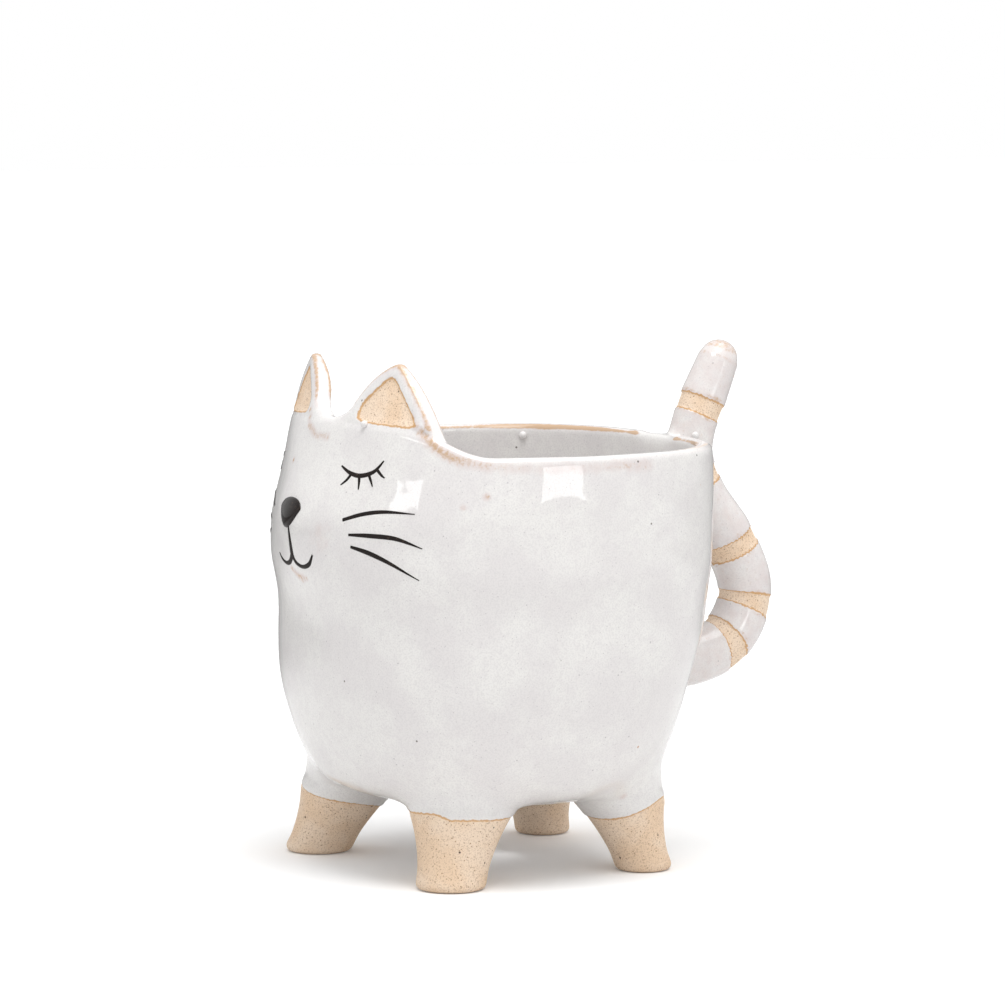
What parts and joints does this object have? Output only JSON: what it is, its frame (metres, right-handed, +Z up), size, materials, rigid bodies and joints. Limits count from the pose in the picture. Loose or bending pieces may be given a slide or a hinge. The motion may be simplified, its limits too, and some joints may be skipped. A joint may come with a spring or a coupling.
{
  "type": "animal shaped planter",
  "caption": "Small glazed stoneware planter shaped as a sleeping cat on short bare-clay legs, with pricked ears and a looping striped tail.",
  "frame": {"origin": "on the resting plane, under the middle of the object's bounding box", "axes": "+Z up out of the mouth; the cat faces -Y, its tail is at +Y and its left side is +X"},
  "size_m": [0.1209, 0.1486, 0.1406],
  "materials": {
    "white_glaze": "gloss",
    "bare_clay": "matte",
    "black_glaze": "gloss"
  },
  "bodies": {
    "root": {"pot_body": "white_glaze", "leg_front_left": "bare_clay", "leg_front_right": "bare_clay", "leg_rear_left": "bare_clay", "leg_rear_right": "bare_clay", "ear_left": "white_glaze", "ear_right": "white_glaze", "inner_ear_left": "bare_clay", "inner_ear_right": "bare_clay", "tail": "bare_clay", "tail_glaze": "white_glaze", "nose": "black_glaze"}
  },
  "joints": []
}
